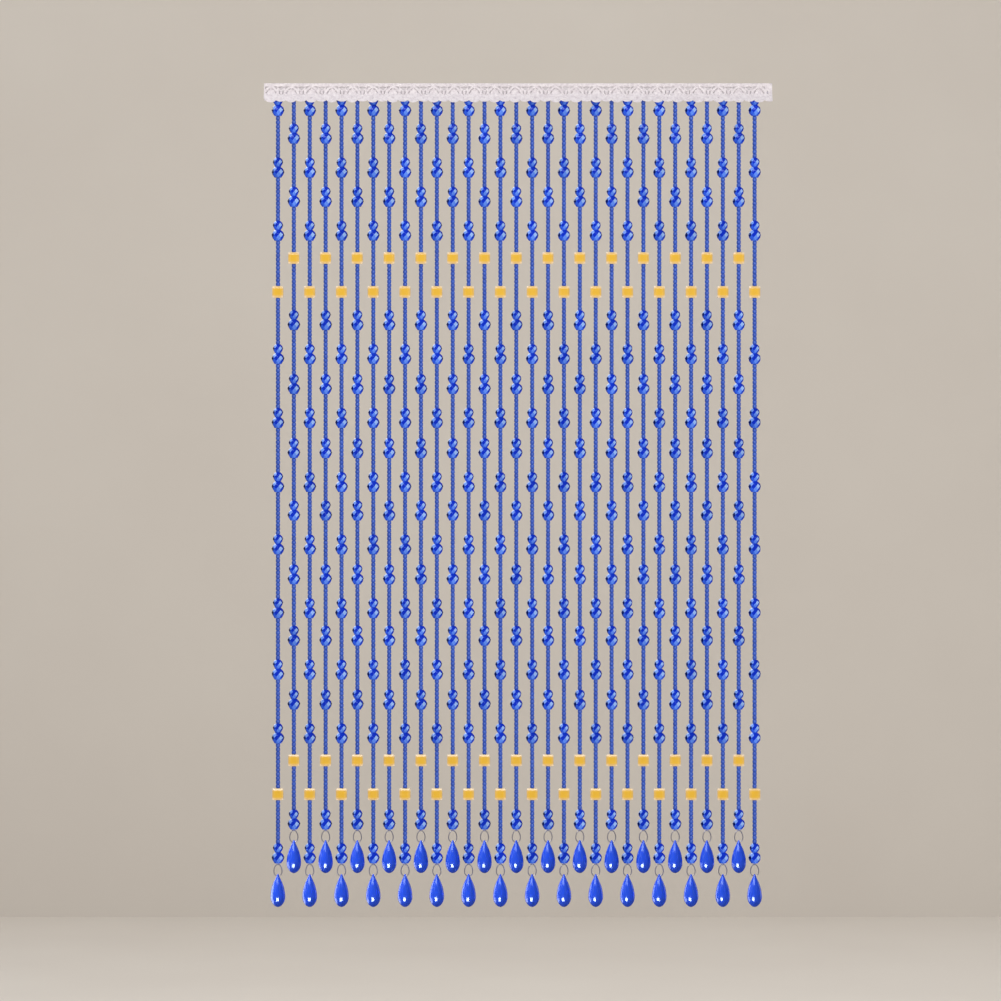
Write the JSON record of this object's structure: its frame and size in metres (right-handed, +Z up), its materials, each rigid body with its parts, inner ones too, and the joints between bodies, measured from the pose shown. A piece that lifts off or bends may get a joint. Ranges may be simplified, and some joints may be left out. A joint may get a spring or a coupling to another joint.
{
  "type": "bead curtain",
  "caption": "Doorway bead curtain: strands of faceted blue beads and square gold beads end in teardrops and hang from a white tape with scalloped lace.",
  "frame": {"origin": "middle of the header's top edge, half way through the tape", "axes": "+X along the header to the right seen from the front, -Y is the front, +Z up"},
  "size_m": [0.9, 0.0267, 1.459],
  "materials": {
    "beads": "clear blue moulded acrylic, faceted and polished",
    "lace": "white scalloped lace of polyester yarn",
    "drops": "clear blue moulded acrylic, smooth and polished",
    "tape": "white woven tape",
    "fine_beads": "solid blue moulded beads",
    "gold_squares": "amber gold moulded square beads",
    "wire": "plated steel wire"
  },
  "bodies": {
    "root": {"strands": "beads", "lace_trim": "lace", "drop_01": "drops", "drop_02": "drops", "drop_03": "drops", "drop_04": "drops", "drop_05": "drops", "drop_06": "drops", "drop_07": "drops", "drop_08": "drops", "drop_09": "drops", "drop_10": "drops", "drop_11": "drops", "drop_12": "drops", "drop_13": "drops", "drop_14": "drops", "drop_15": "drops", "drop_16": "drops", "drop_17": "drops", "drop_18": "drops", "drop_19": "drops", "drop_20": "drops", "drop_21": "drops", "drop_22": "drops", "drop_23": "drops", "drop_24": "drops", "drop_25": "drops", "drop_26": "drops", "drop_27": "drops", "drop_28": "drops", "drop_29": "drops", "drop_30": "drops", "drop_31": "drops"}
  },
  "joints": []
}
